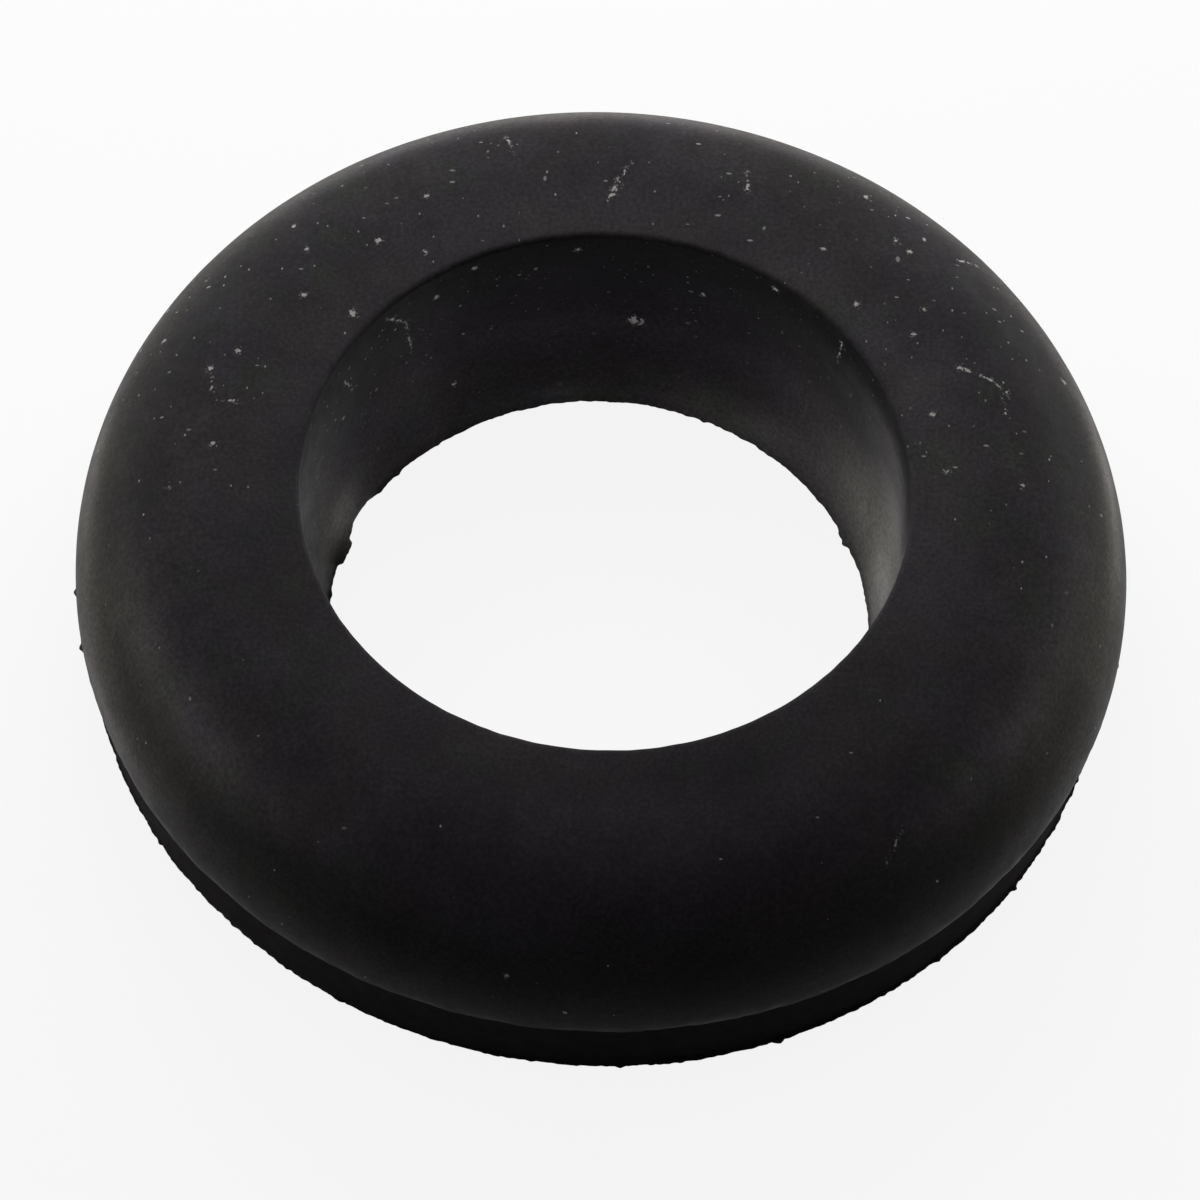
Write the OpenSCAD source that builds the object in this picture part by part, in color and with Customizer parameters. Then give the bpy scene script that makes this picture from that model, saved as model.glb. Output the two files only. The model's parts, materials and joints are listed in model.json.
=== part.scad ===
// Rubber isolator ring: one compression-moulded piece of solid black rubber.
// A flat-topped ring with a rounded outer shoulder stands on its flat base. The shoulder ends in a
// sharp moulding edge that overhangs a slightly smaller lower wall, and the bore runs straight down
// from the top, then narrows to a mouth at the base.
// Millimetres, +Z up, origin at the centre of the base.

/* [Overall] */
// Outside diameter, at the moulding edge
outer_d = 50; // [41:0.1:70]
// Height from the flat base to the flat top
height = 12.2; // [10:0.1:20]

/* [Head] */
// Radius of the rounded outer shoulder
shoulder_r = 7; // [3:0.1:10]
// Height of the sharp moulding edge above the base
edge_z = 4.3; // [2:0.1:6]
// Height of the upright land between the moulding edge and the shoulder, at least
land_h = 0.3; // [0.1:0.1:1]

/* [Lower wall] */
// How far the moulding edge overhangs the lower wall
overhang = 0.8; // [0.3:0.1:1.8]

/* [Bore] */
// Diameter of the straight upper bore
bore_d = 28.8; // [20:0.1:35]
// Height of the tapered lower stretch of the bore
taper_h = 6; // [2:0.1:8]
// How far the taper closes in on the bore, on the radius
mouth_inset = 1.35; // [0.2:0.05:2.5]
// Rounding of the bore's top rim
rim_r = 0.25; // [0.1:0.05:0.8]
// Flat left between the rim's rounding and the shoulder, at least
top_flat_w = 1; // [0.5:0.1:2]

/* [Hidden] */
$fn = 128;

outer_r = outer_d / 2;
lower_r = outer_r - overhang;
bore_r = bore_d / 2;
mouth_r = bore_r - mouth_inset;
// The shoulder keeps its radius unless the wall round the bore or the head above the land is too small
shoulder = min(shoulder_r, outer_r - bore_r - rim_r - top_flat_w, height - edge_z - land_h);

rubber = [0.15, 0.148, 0.148];

// What rounding takes off a square corner that points along +X and +Y and has its tip at the origin
module corner_waste(r) {
    translate([-r, -r])
        difference() {
            square(r + 1);
            circle(r);
            translate([-r, -r]) square([r, 2 * r + 1]);
            translate([-r, -r]) square([2 * r + 1, r]);
        }
}

// Straight-sided outline of the ring's wall, right of the axis, with its corners still square
module wall_outline() {
    polygon([
        [mouth_r, 0],
        [lower_r, 0],
        [lower_r, edge_z],
        [outer_r, edge_z],
        [outer_r, height],
        [bore_r, height],
        [bore_r, taper_h]
    ]);
}

// Hollow fillet that carries the overhanging edge on the lower wall
module overhang_cove() {
    difference() {
        translate([lower_r, edge_z - overhang]) square(overhang);
        translate([outer_r, edge_z - overhang]) circle(overhang);
    }
}

// Section of the moulding: rounded shoulder, rounded rim, sharp edge and cove
module wall_section() {
    difference() {
        union() {
            wall_outline();
            overhang_cove();
        }
        translate([outer_r, height]) corner_waste(shoulder);
        translate([bore_r, height]) mirror([1, 0]) corner_waste(rim_r);
    }
}

module isolator_ring() {
    color(rubber)
        rotate_extrude()
            wall_section();
}

isolator_ring();
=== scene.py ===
"""Looks of the black rubber isolator ring: moulded body, trimmed flash, dusty rubber, plain studio."""

import json
import math

import bpy
import numpy as np
from mathutils import Matrix, Vector


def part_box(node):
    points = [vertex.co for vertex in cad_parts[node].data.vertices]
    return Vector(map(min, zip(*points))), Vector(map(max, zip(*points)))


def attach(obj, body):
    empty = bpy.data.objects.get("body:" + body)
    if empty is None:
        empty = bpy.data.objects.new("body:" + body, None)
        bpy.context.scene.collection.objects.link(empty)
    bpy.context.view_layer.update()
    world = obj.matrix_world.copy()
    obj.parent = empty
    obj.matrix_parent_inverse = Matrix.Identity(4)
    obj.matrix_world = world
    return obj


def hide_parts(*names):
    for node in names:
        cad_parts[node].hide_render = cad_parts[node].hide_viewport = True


MM = 0.001

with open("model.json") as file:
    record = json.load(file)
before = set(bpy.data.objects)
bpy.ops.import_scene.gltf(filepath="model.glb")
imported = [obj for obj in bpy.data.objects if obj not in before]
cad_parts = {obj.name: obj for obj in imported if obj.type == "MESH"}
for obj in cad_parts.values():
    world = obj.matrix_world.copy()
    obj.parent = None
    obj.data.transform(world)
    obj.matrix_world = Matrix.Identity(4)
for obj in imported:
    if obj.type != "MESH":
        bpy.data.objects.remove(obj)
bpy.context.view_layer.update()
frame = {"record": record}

# ---------------------------------------------------------------- sizes in mm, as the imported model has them
NODE = "isolator_ring"
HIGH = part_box(NODE)[1]
BORE = next(mount for mount in frame["record"]["mounts"] if mount["name"] == "bore")
OUTER_R = HIGH.x / MM
HEIGHT = HIGH.z / MM
BORE_R = BORE["dims"]["r_mm"]
SHOULDER_R = 7.0
# where the flat top ends and the shoulder begins
TOP_R = OUTER_R - SHOULDER_R
EDGE_Z = 4.3
OVERHANG = 0.8
LOWER_R = OUTER_R - OVERHANG
TAPER_H = 6.0
MOUTH_INSET = 1.35
MOUTH_R = BORE_R - MOUTH_INSET
RIM_R = 0.25
# the arc on which the bore's wall turns softly into its taper
BLEND_R = 12.0

# ---------------------------------------------------------------- section of the moulding
# depths below the surface, in mm, at which the mesh is fine enough to carry flash
SKIN = np.array([0, 0.05, 0.1, 0.16, 0.25, 0.4])


def arc_point(centre_r, centre_z, radius, degrees):
    """A point on an arc of the section, at 0 degrees along +r and at 90 degrees along +Z."""
    angle = math.radians(degrees)
    return (centre_r + radius * math.cos(angle), centre_z + radius * math.sin(angle))


def arc(centre_r, centre_z, radius, start, end, steps):
    """Points at even steps on an arc of the section, without the one at its start."""
    return [arc_point(centre_r, centre_z, radius, angle) for angle in np.linspace(start, end, steps + 1)[1:]]


def line(start, end, stops):
    """Points at the given fractions of the way from start to end."""
    return [(start[0] + (end[0] - start[0]) * stop, start[1] + (end[1] - start[1]) * stop) for stop in stops]


def section():
    """The closed section, from the mouth up the bore, over the head and back along the base."""
    lean = math.atan2(BORE_R - MOUTH_R, TAPER_H)
    reach = BLEND_R * math.tan(lean / 2)
    # closer points on the blend at the height of the crumb on the bore's wall
    tilts = [-math.degrees(lean), *np.linspace(-11.5, -7.5, 8), -5, -2.5, 0]
    blend = [arc_point(BORE_R - BLEND_R, TAPER_H + reach, BLEND_R, tilt) for tilt in tilts]
    foot = 1 - SKIN[::-1] / (EDGE_Z - OVERHANG)
    points = line((MOUTH_R, 0), blend[0], [*(SKIN / TAPER_H), *np.linspace(0.15, 0.9, 6)])
    points += blend
    points += line(blend[-1], (BORE_R, HEIGHT - RIM_R), [0.2, 0.45, 0.7, 0.85, 0.94, 0.98])
    points += [(BORE_R, HEIGHT - RIM_R)]
    points += arc(BORE_R + RIM_R, HEIGHT - RIM_R, RIM_R, 180, 90, steps=5)
    points += line((BORE_R + RIM_R, HEIGHT), (TOP_R, HEIGHT), [0.04, 0.2, 0.4, 0.6, 0.8, 1])
    points += arc(TOP_R, HEIGHT - SHOULDER_R, SHOULDER_R, 90, 0, steps=20)
    points += line((OUTER_R, HEIGHT - SHOULDER_R), (OUTER_R, EDGE_Z), [0.5, 0.85, 1])
    points += arc(OUTER_R, EDGE_Z - OVERHANG, OVERHANG, 90, 180, steps=6)
    points += line((LOWER_R, EDGE_Z - OVERHANG), (LOWER_R, 0), [0.25, 0.6, *foot])
    points += line((LOWER_R, 0), (MOUTH_R, 0), [0.01, 0.03, 0.99])
    return np.array(points)


def near(points, spot, width):
    """How near each point of the section is to a spot on it: 1 there, fading over width."""
    return np.exp(-(((points - np.array(spot)) ** 2).sum(1) / width ** 2))


def shoulder_spot(tilt):
    """The point of the section on the shoulder where the surface leans tilt degrees outward."""
    return arc_point(TOP_R, HEIGHT - SHOULDER_R, SHOULDER_R, 90 - tilt)


def bore_spot(z):
    """The point of the section on the bore's wall at height z."""
    return (min(BORE_R, MOUTH_R + (BORE_R - MOUTH_R) * z / TAPER_H), z)


# ---------------------------------------------------------------- patches and specks, by where they lie
# an azimuth is in degrees from +X towards +Y, so 270 is the front; a spot is a point of the section

# painted light and shade: azimuth, spot, half-widths in degrees and mm, doublings of the rubber's colour
SHADING_PATCHES = [
    # the sides of the shoulder: painted highlights, in crescents
    (211, shoulder_spot(43), 20, 1.5, 1.25),
    (327, shoulder_spot(43), 20, 1.5, 1.15),
    (206, shoulder_spot(80), 20, 1.3, 0.6),
    (236, shoulder_spot(38), 14, 1.4, 0.4),
    # painted sheen towards the outer edge, at the sides and the back, where the surface is seen edge-on
    (192, shoulder_spot(72), 30, 1.5, 1.1),
    (352, shoulder_spot(68), 32, 1.7, 1.1),
    (90, shoulder_spot(53), 80, 1.5, 1.0),
    (97, shoulder_spot(42), 46, 1.1, 1.3),
    (12, shoulder_spot(64), 14, 1.0, 2.0),
    (200, shoulder_spot(86), 10, 0.9, 1.3),
    (210, (OUTER_R, EDGE_Z + 0.8), 8, 1.0, 0.9),
    (30, shoulder_spot(55), 9, 0.9, 0.5),
    (135, shoulder_spot(53), 9, 0.9, 0.5),
    (171, shoulder_spot(66), 15, 1.1, 1.3),
    (337, shoulder_spot(82), 20, 1.3, 0.8),
    (348, shoulder_spot(45), 12, 3.0, 0.35),
    # painted shade between them and at the front
    (26, shoulder_spot(33), 24, 1.5, -0.85),
    (162, shoulder_spot(35), 26, 1.4, -0.8),
    (270, (TOP_R - 1, HEIGHT), 60, 2.0, -0.3),
    (270, shoulder_spot(65), 45, 1.8, -0.75),
    (295, (OUTER_R, EDGE_Z), 30, 1.2, -1.0),
    (128, shoulder_spot(31), 16, 1.0, -0.35),
    (302, (TOP_R - 1.5, HEIGHT), 24, 2.0, -0.35),
    # painted light beside the rim of the bore
    (16, (BORE_R + 1.4, HEIGHT), 30, 2.6, 0.5),
    (50, (BORE_R + 1, HEIGHT), 30, 1.8, 0.2),
    (170, (BORE_R + 2, HEIGHT), 20, 1.2, 0.15),
    (120, (BORE_R + 1.5, HEIGHT), 30, 1.8, 0.35),
    # painted light and reflection in the bore, strongest low on the right
    (90, bore_spot(3.2), 90, 2.8, 1.0),
    (75, bore_spot(5.2), 80, 1.5, 1.1),
    (28, bore_spot(3.5), 26, 3.0, 1.5),
    (3, bore_spot(2.8), 5, 1.5, 0.6),
    (52, bore_spot(6.3), 12, 2.0, 0.4),
    (102, bore_spot(9.5), 8, 1.2, 0.5),
    (128, bore_spot(9.5), 9, 2.5, 0.4),
    (100, bore_spot(0.6), 6, 0.8, 0.7),
    (130, bore_spot(0.6), 5, 0.8, 0.5),
    (22, bore_spot(2.0), 30, 3.4, 1.9),
    (60, bore_spot(1.0), 18, 2.2, 1.2),
    (13, bore_spot(7.2), 12, 2.5, 2.1),
    (24, bore_spot(9.1), 14, 1.3, 1.3),
    (85, bore_spot(7.5), 70, 2.5, 0.6),
    (130, bore_spot(8), 12, 4.0, 1.0),
    (135, bore_spot(4), 20, 3.5, 0.4),
    (90, bore_spot(0.5), 90, 2.2, 1.3),
    (90, bore_spot(0.4), 80, 0.7, 0.5),
    (8, bore_spot(2.5), 8, 4.0, 1.3),
    (159, bore_spot(1.4), 9, 1.8, 2.3),
    (166, bore_spot(5.5), 12, 4.5, 1.6),
    (131, bore_spot(2.8), 8, 1.8, 0.6),
    (150, bore_spot(4), 18, 2.6, 0.8),
    # painted shade in the bore: at the left end of the mouth, high on the right and under the rim
    (174, bore_spot(0.4), 8, 0.9, -2.5),
    (4, bore_spot(9.3), 8, 3.5, -2.6),
    (18, bore_spot(11.4), 38, 1.1, -1.6),
    (115, bore_spot(11.8), 50, 0.5, -0.5),
    (164, bore_spot(11.4), 22, 1.4, -1.9),
]
# where the colour is warmer than the rest or, under 0, cooler: azimuth, spot, half-widths, share
WARM = [
    (90, shoulder_spot(55), 95, 1.8, 0.8),
    (200, shoulder_spot(62), 34, 3.0, 1.0),
    (342, shoulder_spot(62), 34, 3.0, 1.0),
    (16, bore_spot(3.0), 26, 5.0, 1.0),
    (166, bore_spot(1.5), 12, 3.0, 1.0),
    (90, bore_spot(7.5), 55, 5.0, -1.0),
    (90, (TOP_R - 2, HEIGHT), 60, 2.5, -0.5),
    (270, shoulder_spot(25), 55, 6.0, -0.8),
]
# where the rubber is smoother than the rest or, under 0, rougher: azimuth, spot, half-widths, share
POLISH = [
    (12, bore_spot(3.5), 40, 5.0, 1.0),
    (165, bore_spot(6), 30, 6.0, 0.2),
    # the rough band under the rim, and the dull wall high on the right
    (22, bore_spot(11.3), 45, 1.3, -0.5),
    (2, bore_spot(8.3), 8, 2.6, -0.55),
]
# how thickly dust specks lie, least at the front and most in the bore, where a share over 1 also paints the
# dust whiter as painted light: azimuth, spot, half-widths, share
DUSTY = [
    (90, (BORE_R, HEIGHT), 75, 12.0, 0.36),
    (18, (BORE_R + 2, HEIGHT), 24, 4.0, 0.6),
    (45, shoulder_spot(30), 45, 5.0, 0.4),
    (150, shoulder_spot(25), 35, 5.0, 0.35),
    (70, bore_spot(8), 60, 4.5, 1.1),
    (145, bore_spot(7.5), 35, 5.0, 1.5),
]
# specks that have a place of their own: azimuth, spot, radius in mm
TOP_MARKS = [
    # at the ends of the strings of dust
    (25.2, shoulder_spot(2), 0.15), (19.6, shoulder_spot(16), 0.11),
    (167.8, shoulder_spot(1), 0.12), (163.2, shoulder_spot(15), 0.14),
    # single grains, from the right round the back to the left
    (-9.8, shoulder_spot(36), 0.10), (4, shoulder_spot(14), 0.12),
    (6.4, (TOP_R - 1.9, HEIGHT), 0.13), (18.3, (TOP_R - 1.9, HEIGHT), 0.12),
    (22.6, shoulder_spot(50), 0.16), (33.8, (TOP_R - 0.8, HEIGHT), 0.14),
    (36.8, shoulder_spot(3), 0.11), (44, (TOP_R - 2, HEIGHT), 0.10),
    (46.2, shoulder_spot(18), 0.12), (48.6, shoulder_spot(18), 0.13),
    (56.8, shoulder_spot(31), 0.13), (55.3, (TOP_R - 0.7, HEIGHT), 0.11),
    (119.8, shoulder_spot(5), 0.12), (125.3, (TOP_R - 2.2, HEIGHT), 0.12),
    (130.4, (TOP_R - 0.4, HEIGHT), 0.16), (139, shoulder_spot(13), 0.10),
    (136.8, shoulder_spot(28), 0.12), (143.5, (TOP_R - 2.6, HEIGHT), 0.18),
    (145.8, (TOP_R - 0.1, HEIGHT), 0.13), (159.3, shoulder_spot(8), 0.13),
    (158.5, shoulder_spot(45), 0.13), (175.8, shoulder_spot(5), 0.11),
    (182.4, shoulder_spot(21), 0.10),
    # low at the front, towards the moulding edge
    (268.5, shoulder_spot(84), 0.12), (262, shoulder_spot(68), 0.10),
]
# the two lumps of a white crumb on the bore's back wall: azimuth, spot, and in mm both height and half-width
CRUMBS = [(86.0, bore_spot(5.4), 0.21), (84.9, bore_spot(5.35), 0.18)]
# how much wider than its lumps the crumb is painted
CRUMB_SPREAD = 1.35
# in the bore: the crumb, and single grains on the wall
BORE_MARKS = [
    *[(azimuth, spot, CRUMB_SPREAD * size) for azimuth, spot, size in CRUMBS],
    (73, bore_spot(8.5), 0.13), (58, bore_spot(11.5), 0.14), (123.5, bore_spot(3.1), 0.14),
    (126.5, bore_spot(10.3), 0.15), (118, bore_spot(11.3), 0.15), (97.5, bore_spot(11), 0.12),
]
# hairs, scratches and strings of dust: azimuth and spot of each end, radius in mm
TOP_HAIRS = [
    # a slanted pair of scratches across the top at the back
    ((92.0, (TOP_R - 1.7, HEIGHT)), (90.3, (TOP_R - 0.2, HEIGHT)), 0.07),
    ((90.9, (TOP_R - 1.2, HEIGHT)), (88.9, shoulder_spot(6)), 0.06),
    # hairs on the back of the shoulder
    ((105.2, shoulder_spot(14)), (105.5, shoulder_spot(27)), 0.06),
    ((70.6, shoulder_spot(3)), (72.0, shoulder_spot(13)), 0.06),
    ((42.2, shoulder_spot(36)), (41.0, shoulder_spot(46)), 0.09),
    # a faint scratch down the shoulder at the front right
    ((-49.6, shoulder_spot(38)), (-53.2, shoulder_spot(46.7)), 0.05),
    # a bent string at the right
    ((25.2, shoulder_spot(2)), (22.0, shoulder_spot(11)), 0.06),
    ((22.0, shoulder_spot(11)), (19.6, shoulder_spot(16)), 0.07),
    ((19.6, shoulder_spot(16)), (16.0, shoulder_spot(12)), 0.06),
    # another at the left
    ((167.6, shoulder_spot(0)), (168.4, shoulder_spot(7)), 0.07),
    ((166.6, shoulder_spot(11)), (163.0, shoulder_spot(15)), 0.06),
]
BORE_HAIRS = [
    ((138.8, bore_spot(11.4)), (133.4, bore_spot(9.7)), 0.07),
    ((133.4, bore_spot(9.7)), (131.9, bore_spot(6.9)), 0.06),
    ((151.6, bore_spot(9.8)), (148.3, bore_spot(8.0)), 0.055),
    ((41.6, bore_spot(9.4)), (40.8, bore_spot(11.4)), 0.055),
]

# ---------------------------------------------------------------- mesh of the moulding
TURNS = 1200
AZIMUTHS = np.arange(TURNS) * 360 / TURNS
SEED = 11
rng = np.random.default_rng(SEED)
# faces that meet at more than this, in degrees, have a sharp edge between them
SHARP_ANGLE = 40
# slack, in mm, for telling which points lie below the moulding edge
SLACK = 0.01

# random waves round the ring: height in mm, widths of the bumps in degrees, power that makes them peaky
EDGE_INWARD = [(0.09, (1.5, 9), 1), (0.04, (0.5,), 1)]
EDGE_UPWARD = [(0.12, (2.2,), 1), (0.08, (0.7,), 1)]
FLASH_OUTWARD = [(0.10, (2.0, 14), 1), (0.17, (1.1,), 7), (0.13, (0.45,), 1), (0.18, (0.6,), 6)]
LIP_INWARD = [(0.12, (2.6, 20), 1), (0.12, (1.6,), 5), (0.08, (0.8,), 1)]
RIM_OUTWARD = [(0.05, (2.0,), 1)]
RIM_DOWNWARD = [(0.05, (3.0,), 2)]
# how far along the section each of these fades out, in mm
EDGE_WIDTH = 0.22
NIB_WIDTH = 0.12
FLASH_WIDTH = 0.14
LIP_WIDTH = 0.16
RIM_WIDTH = 0.3
# even shifts in mm: the moulding edge inward and down, the flash outward, the bore's rim inward
EDGE_INSET = 0.02
EDGE_DROP = 0.1
FLASH_BASE = 0.02
RIM_INSET = 0.02
# nibs on the moulding edge: azimuth, width in degrees, height in mm
NIBS = [(185.3, 0.9, 0.20), (192.5, 0.8, 0.18), (352, 0.9, 0.10)]
# where the flash is cut shorter: azimuth, width in degrees, depth in mm
FLASH_CUTS = [(228, 45, 0.16)]
# longer rags round the mouth and, under 0, a cleaner cut: start, end and softness of the ends, height in mm
RAGS = [(161, 167.5, 0.8, 0.26), (149, 158, 3, -0.22), (24, 28, 0.7, 0.14)]


def around(width_deg, power):
    """Smooth random values from 0 to 1 round the ring, in bumps about width_deg wide, peaky by a power."""
    waves = np.fft.rfftfreq(TURNS, 1 / TURNS)
    keep = np.exp(-(waves * width_deg / 180) ** 2)
    smooth = np.fft.irfft(np.fft.rfft(rng.standard_normal(TURNS)) * keep, TURNS)
    return ((smooth - smooth.min()) / (smooth.max() - smooth.min())) ** power


def ripple(waves):
    """The sum of random waves round the ring; a wave of several widths is the product of its bumps."""
    total = np.zeros(TURNS)
    for height, widths, power in waves:
        wave = np.full(TURNS, height)
        for width in widths:
            wave = wave * around(width, power)
        total += wave
    return total


def bump_at(azimuth, width_deg):
    """One smooth bump of height 1 round the given azimuth, in degrees."""
    off = (AZIMUTHS - azimuth + 180) % 360 - 180
    return np.exp(-(off / (width_deg / 2)) ** 2)


def bumps(places):
    """The sum of smooth bumps, each given as azimuth, width in degrees, height."""
    return sum(height * bump_at(azimuth, width) for azimuth, width, height in places)


def stretch_of(start, end, edge_deg):
    """1 between two azimuths and 0 outside them, with ends about edge_deg wide."""
    inside = np.minimum(AZIMUTHS - start, end - AZIMUTHS)
    return 0.5 + 0.5 * np.tanh(inside * 2 / edge_deg)


def shape_edge(points, r, z):
    """The sharp moulding edge: a hair inside the nominal size, slightly ragged, with small nibs."""
    spot = (OUTER_R, EDGE_Z)
    edge = near(points, spot, EDGE_WIDTH)
    r -= edge * (EDGE_INSET + ripple(EDGE_INWARD))[:, None]
    z += edge * (ripple(EDGE_UPWARD) - EDGE_DROP)[:, None]
    r += near(points, spot, NIB_WIDTH) * bumps(NIBS)[:, None]


def shape_flash(points, r):
    """Trimmed flash that stands out of the lower outer edge."""
    flash = FLASH_BASE + ripple(FLASH_OUTWARD) - bumps(FLASH_CUTS)
    r += near(points, (LOWER_R, 0), FLASH_WIDTH) * flash[:, None]


def shape_mouth(points, r):
    """Trimmed flash round the mouth, with longer rags left on it."""
    lip = ripple(LIP_INWARD)
    for start, end, edge_deg, height in RAGS:
        lip += height * stretch_of(start, end, edge_deg)
    r -= near(points, (MOUTH_R, 0), LIP_WIDTH) * lip[:, None]


def shape_rim(points, r, z):
    """Small nicks in the top rim of the bore."""
    # about the middle of the rim's rounding
    corner = 0.3 * RIM_R
    rim = near(points, (BORE_R + corner, HEIGHT - corner), RIM_WIDTH)
    r += rim * (ripple(RIM_OUTWARD) - RIM_INSET)[:, None]
    z -= rim * ripple(RIM_DOWNWARD)[:, None]


def shape_crumb(points, r):
    """The crumb that stands proud of the bore's wall."""
    for azimuth, spot, size in CRUMBS:
        side = bump_at(azimuth, 2 * math.degrees(size / BORE_R))
        r -= size * side[:, None] * near(points, spot, size)[None]


def patches(points, places):
    """The sum of soft patches, at each turn and each point of the section."""
    total = np.zeros((TURNS, len(points)))
    wall = points[:, 0] <= BORE_R
    for azimuth, spot, spread, width, amount in places:
        share = near(points, spot, width)
        # a patch in the bore stops at the rim, and so does a patch outside it
        if spot[0] > BORE_R:
            share = share * ~wall
        elif spot[1] < HEIGHT:
            share = share * wall
        total += amount * bump_at(azimuth, 2 * spread)[:, None] * share[None]
    return total


def turned_mesh(r, z):
    """A closed mesh through the radii and heights that the section's points have at each turn."""
    count = r.shape[1]
    angles = np.arange(TURNS) * (2 * math.pi / TURNS)
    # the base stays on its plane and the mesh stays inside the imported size
    x = np.clip(r * np.cos(angles)[:, None], -OUTER_R, OUTER_R)
    y = np.clip(r * np.sin(angles)[:, None], -OUTER_R, OUTER_R)
    z = np.clip(z, 0, HEIGHT)
    places = np.stack([x, y, z], -1).reshape(-1, 3) * MM
    turn, step = np.meshgrid(np.arange(TURNS), np.arange(count), indexing="ij")
    next_turn = (turn + 1) % TURNS
    next_step = (step + 1) % count
    faces = np.stack([turn * count + step, turn * count + next_step,
                      next_turn * count + next_step, next_turn * count + step], -1).reshape(-1, 4)
    mesh = bpy.data.meshes.new("isolator_body")
    mesh.from_pydata(places.tolist(), [], faces.tolist())
    mesh.update()
    return mesh


def make_ring():
    """The ring: the section turned round the axis, with its flash and small unevenness."""
    points = section()
    r = np.repeat(points[None, :, 0], TURNS, 0)
    z = np.repeat(points[None, :, 1], TURNS, 0)
    shape_edge(points, r, z)
    shape_flash(points, r)
    shape_mouth(points, r)
    shape_rim(points, r, z)
    shape_crumb(points, r)
    mesh = turned_mesh(r, z)
    mesh.polygons.foreach_set("use_smooth", [True] * len(mesh.polygons))
    mesh.set_sharp_from_angle(angle=math.radians(SHARP_ANGLE))
    # the faces below the sharp edge and under the base take the second material, whose darker colour is
    # painted shade
    below = (points[:, 1] < EDGE_Z - SLACK) & (points[:, 0] > BORE_R) | (points[:, 1] == 0)
    below &= np.roll(below, -1)
    mesh.polygons.foreach_set("material_index", np.tile(below, TURNS).astype(int).tolist())
    # the first layer holds painted light and shade; the others warmth, polish and how dusty it is
    for name, places in (("film", SHADING_PATCHES), ("warm", WARM), ("polish", POLISH), ("dusty", DUSTY)):
        layer = mesh.attributes.new(name, "FLOAT", "POINT")
        layer.data.foreach_set("value", patches(points, places).ravel())
    ring = bpy.data.objects.new("isolator_body", mesh)
    bpy.context.scene.collection.objects.link(ring)
    return ring


# ---------------------------------------------------------------- materials
# the rubber's own black, in the tints that it drifts between
PLUM = (0.0200, 0.0184, 0.0206, 1)
ROSE = (0.0212, 0.0186, 0.0192, 1)
GREEN = (0.0198, 0.0202, 0.0188, 1)
WARMER = (0.0215, 0.0203, 0.0182, 1)
COOLER = (0.0212, 0.0180, 0.0218, 1)
# the lower wall's black, darker than the rubber above: painted shade below the overhanging moulding edge
LOWER_WALL_SHADED = (0.0156, 0.0138, 0.0154)
# what lies on it
DUST = (0.26, 0.255, 0.24, 1)
CRUMB = (0.90, 0.90, 0.88, 1)
# rubber this dull reflects little: specular level of the moulded and of the trimmed surface
MOULDED_SPECULAR = 0.016
TRIMMED_SPECULAR = 0.006
# roughness of the moulded surface where its noise is low and high, and how much full polish takes off it
SMOOTHER = 0.40
ROUGHER = 0.50
POLISH_DEPTH = 0.3
TRIMMED_ROUGHNESS = 0.7
# fine bumps on the moulded surface, in mm, and how strongly they show
BUMP_HEIGHT = 0.02
BUMP_STRENGTH = 0.25
# shares of the cells that show their speck, where no dust lies and where it lies thickest
FEWEST_SPECKS = 0.03
MOST_SPECKS = 0.9
# outlines of grains and hairs are uneven by this much, in mm, and as soft
GRAIN_UNEVEN = 0.07
# how far loose powder lies round them, in mm, and how strong it is beside them
POWDER_REACH = 0.2
POWDER_STRENGTH = 0.45
# sockets of a Mix node that blends colours
MIX_FIRST = 6
MIX_SECOND = 7
MIX_RESULT = 2


def on_ring(azimuth, spot):
    """The point, in mm, at an azimuth and a spot of the section."""
    angle = math.radians(azimuth)
    return Vector((spot[0] * math.cos(angle), spot[0] * math.sin(angle), spot[1]))


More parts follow.
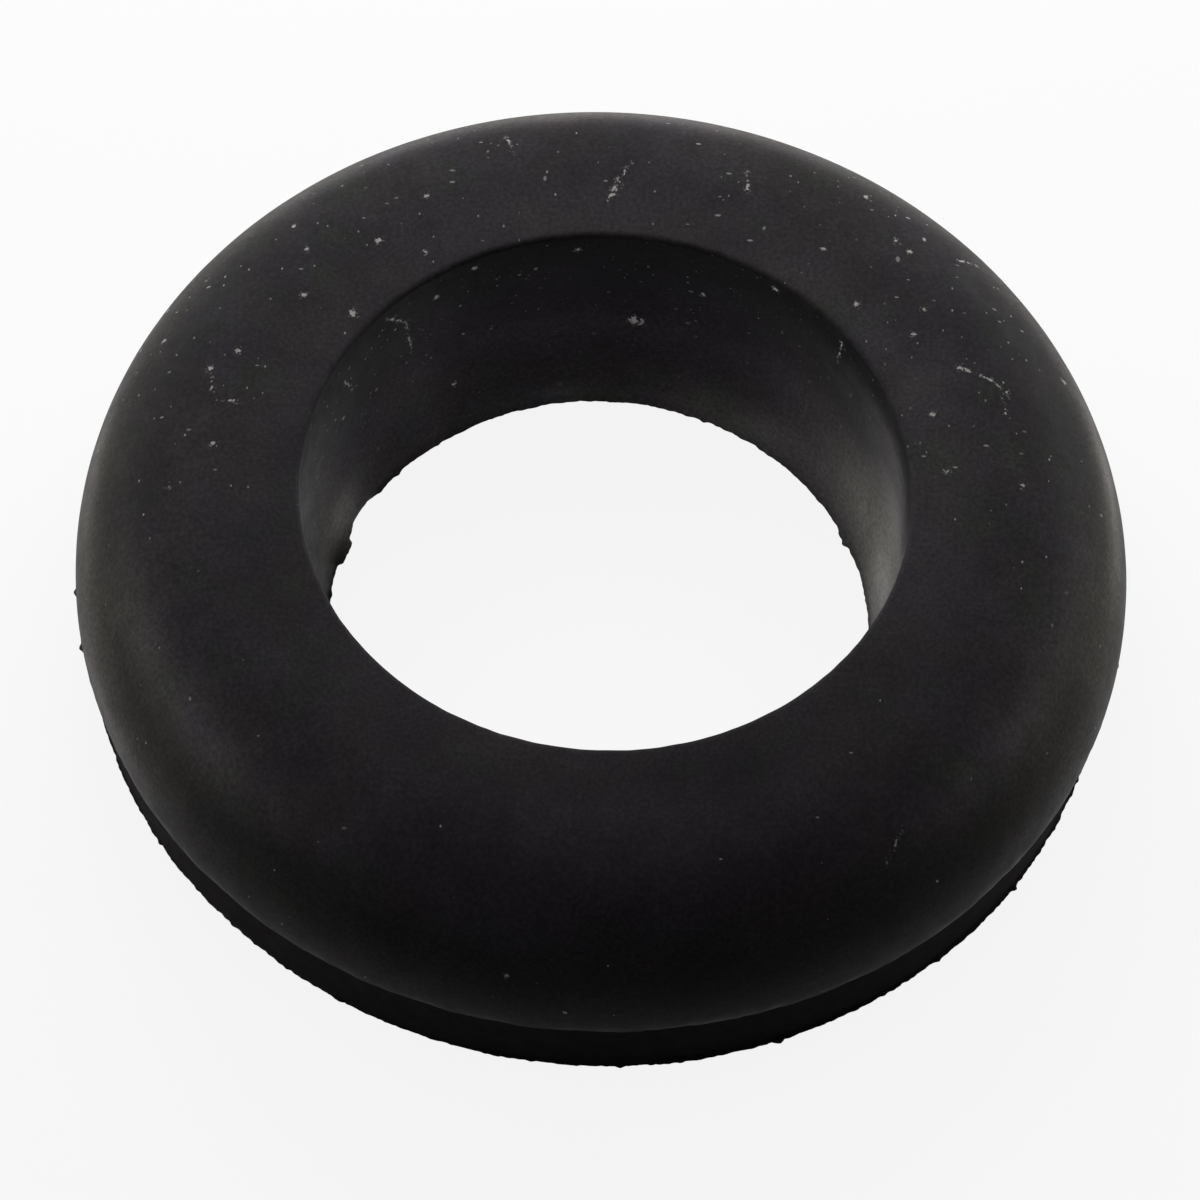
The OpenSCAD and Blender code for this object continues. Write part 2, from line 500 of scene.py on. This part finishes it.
class Wiring:
    """Short calls that add nodes to one material's tree and join them."""

    def __init__(self, name):
        """Starts a material; place_mm is each point's place on the ring, in mm."""
        self.material = bpy.data.materials.new(name)
        self.material.use_nodes = True
        self.tree = self.material.node_tree
        self.shader = self.tree.nodes["Principled BSDF"]
        place = self.tree.nodes.new("ShaderNodeTexCoord").outputs["Object"]
        self.place_mm = self.vector("SCALE", place, scale=1 / MM)

    def feed(self, socket, value):
        """Gives a socket its value: a link from another node, or a constant."""
        if isinstance(value, bpy.types.NodeSocket):
            self.tree.links.new(value, socket)
        else:
            socket.default_value = value

    def vector(self, operation, *values, scale=None):
        """The result of one step of vector arithmetic."""
        node = self.tree.nodes.new("ShaderNodeVectorMath")
        node.operation = operation
        for socket, value in zip(node.inputs, values):
            self.feed(socket, value)
        if scale is not None:
            self.feed(node.inputs["Scale"], scale)
        return node.outputs["Value" if operation in ("DOT_PRODUCT", "DISTANCE") else "Vector"]

    def math(self, operation, *values):
        """The result of one step of arithmetic."""
        node = self.tree.nodes.new("ShaderNodeMath")
        node.operation = operation
        for socket, value in zip(node.inputs, values):
            self.feed(socket, value)
        return node.outputs[0]

    def remap(self, value, low, high, to_low=0.0, to_high=1.0, smooth=True):
        """The value carried from one range to another and held at its ends."""
        node = self.tree.nodes.new("ShaderNodeMapRange")
        node.interpolation_type = "SMOOTHSTEP" if smooth else "LINEAR"
        for socket, part in zip(node.inputs, (value, low, high, to_low, to_high)):
            self.feed(socket, part)
        return node.outputs[0]

    def mix(self, share, first, second):
        """A colour between the first, at share 0, and the second, at share 1."""
        node = self.tree.nodes.new("ShaderNodeMix")
        node.data_type = "RGBA"
        self.feed(node.inputs[0], share)
        self.feed(node.inputs[MIX_FIRST], first)
        self.feed(node.inputs[MIX_SECOND], second)
        return node.outputs[MIX_RESULT]

    def stored(self, name):
        """A value that the mesh holds for each vertex."""
        node = self.tree.nodes.new("ShaderNodeAttribute")
        node.attribute_name = name
        return node.outputs["Fac"]

    def noise(self, size_mm, detail, seed):
        """Noise from 0 to 1 with lumps of about the given size."""
        node = self.tree.nodes.new("ShaderNodeTexNoise")
        node.noise_dimensions = "4D"
        self.feed(node.inputs["Vector"], self.place_mm)
        node.inputs["W"].default_value = seed
        node.inputs["Scale"].default_value = 1 / size_mm
        node.inputs["Detail"].default_value = detail
        return node.outputs["Fac"]

    def swing(self, amount, size_mm, detail, seed, low=0.25, high=0.75):
        """Noise that goes from -amount, where it is low, to +amount, where it is high."""
        return self.remap(self.noise(size_mm, detail, seed), low, high, -amount, amount)

    def specks(self, cell_mm, radius_mm, share, seed, squeeze):
        """Small specks of differing size and strength, one in each cell, of which only a share shows."""
        node = self.tree.nodes.new("ShaderNodeTexVoronoi")
        shifted = self.vector("MULTIPLY_ADD", self.place_mm, squeeze, (seed, 2 * seed, 3 * seed))
        self.feed(node.inputs["Vector"], shifted)
        node.inputs["Scale"].default_value = 1 / cell_mm
        distance = self.math("MULTIPLY", node.outputs["Distance"], cell_mm)
        # the cell's random colour says whether it shows a speck, how large and how strong
        parts = self.tree.nodes.new("ShaderNodeSeparateColor")
        self.feed(parts.inputs[0], node.outputs["Color"])
        shows = self.math("LESS_THAN", parts.outputs[0], share)
        reach = self.remap(parts.outputs[1], 0, 1, 0.5 * radius_mm, radius_mm, smooth=False)
        inner = self.math("MULTIPLY", reach, 0.5)
        spot = self.remap(distance, inner, reach, 1.0, 0.0)
        strength = self.remap(parts.outputs[2], 0, 1, 0.25, 1.0, smooth=False)
        return self.math("MULTIPLY", self.math("MULTIPLY", spot, shows), strength)

    def beyond_grain(self, azimuth, spot, radius):
        """How far, in mm, a place lies outside a round grain."""
        distance = self.vector("DISTANCE", self.place_mm, on_ring(azimuth, spot))
        return self.math("SUBTRACT", distance, radius)

    def beyond_hair(self, start, end, radius, broken):
        """How far, in mm, a place lies outside a straight hair with gaps, like a string of small grains."""
        along = on_ring(*end) - on_ring(*start)
        offset = self.vector("SUBTRACT", self.place_mm, on_ring(*start))
        share = self.remap(self.vector("DOT_PRODUCT", offset, along), 0, along.length_squared, smooth=False)
        foot = self.vector("SCALE", along, scale=share)
        # where the noise is low the width is under 0 and the hair has a gap
        width = self.remap(broken, 0.38, 0.60, -0.6 * radius, 1.1 * radius)
        return self.math("SUBTRACT", self.vector("DISTANCE", offset, foot), width)

    def dirt(self, grains, hairs):
        """1 at the heart of each of the given grains and hairs, with looser powder round it."""
        broken = self.noise(size_mm=0.22, detail=0, seed=12.0)
        beyond = [self.beyond_grain(*grain) for grain in grains]
        beyond += [self.beyond_hair(*hair, broken) for hair in hairs]
        away = beyond[0]
        for other in beyond[1:]:
            away = self.math("MINIMUM", away, other)
        uneven = self.swing(GRAIN_UNEVEN, size_mm=0.16, detail=1, seed=14.0, low=0.3, high=0.7)
        away = self.math("ADD", away, uneven)
        heart = self.remap(away, -GRAIN_UNEVEN, 0.0, 1.0, 0.0)
        powder = self.remap(self.noise(size_mm=0.11, detail=1, seed=8.0), 0.55, 0.68)
        halo = self.remap(away, 0.0, POWDER_REACH, POWDER_STRENGTH, 0.0)
        return self.math("MAXIMUM", heart, self.math("MULTIPLY", powder, halo))


def rubber_tint(rubber):
    """The rubber's own black, drifting between its tints, paler and darker with painted light and shade and
    with its blotches.
    """
    tint = rubber.mix(rubber.remap(rubber.noise(size_mm=3.5, detail=1, seed=4.0), 0.35, 0.65), PLUM, ROSE)
    tint = rubber.mix(rubber.remap(rubber.noise(size_mm=2.4, detail=2, seed=9.0), 0.52, 0.68), tint, GREEN)
    tint = rubber.mix(rubber.remap(rubber.stored("warm"), 0, 1), tint, WARMER)
    tint = rubber.mix(rubber.remap(rubber.stored("warm"), 0, -1), tint, COOLER)
    blotch = rubber.swing(0.22, size_mm=5.0, detail=3, seed=1.0)
    cloud = rubber.swing(0.14, size_mm=1.3, detail=2, seed=2.0)
    grain = rubber.swing(0.42, size_mm=0.2, detail=2, seed=3.0, low=0.2, high=0.8)
    # painted light and shade stored on the mesh, with random blotches added
    film = rubber.math("ADD", rubber.stored("film"), blotch)
    doublings = rubber.math("ADD", film, rubber.math("ADD", cloud, grain))
    return rubber.vector("SCALE", tint, scale=rubber.math("POWER", 2.0, doublings))


def with_dust(rubber, tint):
    """The tint with random dust specks, the placed grains, the hairs and the crumb on it."""
    dusty = rubber.stored("dusty")
    few = rubber.remap(dusty, 0, 1, FEWEST_SPECKS, MOST_SPECKS, smooth=False)
    fine = rubber.specks(cell_mm=0.40, radius_mm=0.065, share=few, seed=0.0, squeeze=(1, 0.6, 1))
    middling = rubber.specks(cell_mm=0.65, radius_mm=0.085, share=few, seed=3.1, squeeze=(0.45, 1, 0.7))
    coarse = rubber.specks(cell_mm=1.2, radius_mm=0.12, share=few, seed=7.3, squeeze=(0.9, 0.5, 0.8))
    dust = rubber.math("MAXIMUM", rubber.math("MAXIMUM", fine, middling), coarse)
    dust = rubber.math("MAXIMUM", dust, rubber.dirt(TOP_MARKS, TOP_HAIRS))
    # where dusty is over 1, in the bore's shade, dust is painted whiter: painted light, so that it shows as
    # strongly as on the top
    dust_colour = rubber.mix(rubber.remap(dusty, 1.1, 1.9, smooth=False), DUST, CRUMB)
    colour = rubber.mix(dust, tint, dust_colour)
    return rubber.mix(rubber.dirt(BORE_MARKS, BORE_HAIRS), colour, CRUMB)


def moulded_material():
    """Dull black rubber with painted light and shade in places, blotches, fine grain and dust."""
    rubber = Wiring("moulded_rubber")
    rubber.feed(rubber.shader.inputs["Base Color"], with_dust(rubber, rubber_tint(rubber)))
    uneven = rubber.remap(rubber.noise(size_mm=0.8, detail=2, seed=5.0), 0.3, 0.7, SMOOTHER, ROUGHER)
    polish = rubber.math("MULTIPLY", rubber.stored("polish"), POLISH_DEPTH)
    rubber.feed(rubber.shader.inputs["Roughness"], rubber.math("SUBTRACT", uneven, polish))
    rubber.shader.inputs["Specular IOR Level"].default_value = MOULDED_SPECULAR
    bump = rubber.tree.nodes.new("ShaderNodeBump")
    bump.inputs["Strength"].default_value = BUMP_STRENGTH
    bump.inputs["Distance"].default_value = BUMP_HEIGHT * MM
    rubber.feed(bump.inputs["Height"], rubber.noise(size_mm=0.25, detail=3, seed=6.0))
    rubber.feed(rubber.shader.inputs["Normal"], bump.outputs[0])
    return rubber.material


def shaded_lower_material():
    """The lower wall and base: rougher rubber, with a darker colour that is painted shade below the moulding
    edge.
    """
    rubber = Wiring("trimmed_rubber")
    level = rubber.math("POWER", 2.0, rubber.swing(0.3, size_mm=0.7, detail=3, seed=1.0))
    rubber.feed(rubber.shader.inputs["Base Color"], rubber.vector("SCALE", LOWER_WALL_SHADED, scale=level))
    rubber.shader.inputs["Roughness"].default_value = TRIMMED_ROUGHNESS
    rubber.shader.inputs["Specular IOR Level"].default_value = TRIMMED_SPECULAR
    return rubber.material


# ---------------------------------------------------------------- studio, in metres and watts
WHITE = (1, 1, 1, 1)
# half of the floor's side
FLOOR_HALF = 1.5
# a hair below the ring's base
FLOOR_Z = -0.0001
FLOOR_GREY = (0.7, 0.7, 0.7, 1)
FLOOR_ROUGHNESS = 0.9
# share of plain white in what camera and glossy rays see of the floor
FLOOR_LIFT = 0.88
WORLD_LIGHT = 0.05

# the camera's view: elevation and roll in degrees, the rest in mm
CAMERA_ELEVATION = 57.43
CAMERA_ROLL = 2.86
CAMERA_DISTANCE = 450
SENSOR_WIDTH = 36
LENS = 284.1
# how far the ring's middle lies right of and above the frame's centre, in mm
OFF_CENTRE = (0.095, 2.024, 0)

# lamps that face the ring: azimuth, elevation, distance, width and height, watts
SOFTBOX_AIM = (0, 0, 0.006)
SOFTBOXES = {
    "top_box": (90, 90, 0.25, (0.16, 0.16), 0.08),
    "back_left_box": (120, 48, 0.13, (0.08, 0.06), 0.025),
    "back_box": (90, 45, 0.13, (0.14, 0.06), 0.1),
}
# low panels that stand on the floor: azimuth, watts
PANELS = {
    "right_panel": (0, 0.016),
    "back_right_panel": (45, 0.378),
    "back_left_panel": (135, 0.271),
    "left_panel": (180, 0.133),
}
PANEL_DISTANCE = 0.22
PANEL_SIZE = (0.17, 0.08)
PANEL_MIDDLE = (0, 0, 0.04)


def seen_ray(tree):
    """1 for camera, glossy and transmission rays, 0 for the rest."""
    path = tree.nodes.new("ShaderNodeLightPath")
    total = path.outputs["Is Camera Ray"]
    for name in ("Is Glossy Ray", "Is Transmission Ray"):
        add = tree.nodes.new("ShaderNodeMath")
        add.operation = "MAXIMUM"
        tree.links.new(total, add.inputs[0])
        tree.links.new(path.outputs[name], add.inputs[1])
        total = add.outputs[0]
    return total


def floor_material():
    """Pale paper that camera and glossy rays see mostly as plain white, with the ring's shadow kept."""
    material = bpy.data.materials.new("floor_paper")
    material.use_nodes = True
    tree = material.node_tree
    shader = tree.nodes["Principled BSDF"]
    shader.inputs["Base Color"].default_value = FLOOR_GREY
    shader.inputs["Roughness"].default_value = FLOOR_ROUGHNESS
    shader.inputs["Specular IOR Level"].default_value = 0.0
    white = tree.nodes.new("ShaderNodeEmission")
    white.inputs["Color"].default_value = WHITE
    share = tree.nodes.new("ShaderNodeMath")
    share.operation = "MULTIPLY"
    share.inputs[1].default_value = FLOOR_LIFT
    tree.links.new(seen_ray(tree), share.inputs[0])
    mix = tree.nodes.new("ShaderNodeMixShader")
    tree.links.new(share.outputs[0], mix.inputs[0])
    tree.links.new(shader.outputs[0], mix.inputs[1])
    tree.links.new(white.outputs[0], mix.inputs[2])
    tree.links.new(mix.outputs[0], tree.nodes["Material Output"].inputs["Surface"])
    return material


def add_floor():
    """A square floor under the ring."""
    half = FLOOR_HALF
    corners = [(-half, -half, 0), (half, -half, 0), (half, half, 0), (-half, half, 0)]
    mesh = bpy.data.meshes.new("floor")
    mesh.from_pydata(corners, [], [(0, 1, 2, 3)])
    mesh.materials.append(floor_material())
    floor = bpy.data.objects.new("floor", mesh)
    bpy.context.scene.collection.objects.link(floor)
    floor.location.z = FLOOR_Z


def add_camera():
    """A long lens, at the real view's elevation, with the horizon tipped a little."""
    data = bpy.data.cameras.new("camera")
    data.sensor_width = SENSOR_WIDTH
    data.lens = LENS
    data.clip_start = 0.01
    camera = bpy.data.objects.new("camera", data)
    bpy.context.scene.collection.objects.link(camera)
    elevation = math.radians(CAMERA_ELEVATION)
    back = Vector((0, -math.cos(elevation), math.sin(elevation)))
    right = Vector((1, 0, 0))
    level = Matrix((right, back.cross(right), back)).transposed()
    axes = level @ Matrix.Rotation(math.radians(CAMERA_ROLL), 3, "Z")
    aim = Vector((0, 0, HEIGHT * MM / 2)) - axes @ Vector(OFF_CENTRE) * MM
    pose = axes.to_4x4()
    pose.translation = aim + back * (CAMERA_DISTANCE * MM)
    camera.matrix_world = pose
    bpy.context.scene.camera = camera


def area_light(name, place, aim, size, watts):
    """A rectangular lamp at a place, turned towards its aim."""
    data = bpy.data.lights.new(name, "AREA")
    data.shape = "RECTANGLE"
    data.size, data.size_y = size
    data.energy = watts
    light = bpy.data.objects.new(name, data)
    bpy.context.scene.collection.objects.link(light)
    light.location = place
    light.rotation_euler = (Vector(aim) - Vector(place)).to_track_quat("-Z", "Y").to_euler()


def direction(azimuth, elevation):
    """Unit vector; azimuth in degrees from +X towards +Y, elevation above the floor."""
    turn = math.radians(azimuth)
    rise = math.radians(elevation)
    return Vector((math.cos(turn) * math.cos(rise), math.sin(turn) * math.cos(rise), math.sin(rise)))


def add_lights():
    """Softboxes above and behind the ring, and low panels at its sides and back."""
    for name, (azimuth, elevation, distance, size, watts) in SOFTBOXES.items():
        area_light(name, direction(azimuth, elevation) * distance, SOFTBOX_AIM, size, watts)
    for name, (azimuth, watts) in PANELS.items():
        place = direction(azimuth, 0) * PANEL_DISTANCE + Vector(PANEL_MIDDLE)
        area_light(name, place, PANEL_MIDDLE, PANEL_SIZE, watts)


def add_world():
    """Low even light, white where the camera and reflections look past the floor."""
    world = bpy.data.worlds.new("studio")
    bpy.context.scene.world = world
    world.use_nodes = True
    tree = world.node_tree
    mix = tree.nodes.new("ShaderNodeMix")
    mix.data_type = "RGBA"
    mix.inputs[MIX_FIRST].default_value = (WORLD_LIGHT, WORLD_LIGHT, WORLD_LIGHT, 1)
    mix.inputs[MIX_SECOND].default_value = WHITE
    tree.links.new(seen_ray(tree), mix.inputs[0])
    tree.links.new(mix.outputs[MIX_RESULT], tree.nodes["Background"].inputs["Color"])


ring = make_ring()
ring.data.materials.append(moulded_material())
ring.data.materials.append(shaded_lower_material())
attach(ring, "root")
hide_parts(NODE)

add_floor()
add_camera()
add_world()
add_lights()

bpy.context.scene.view_settings.view_transform = "Standard"
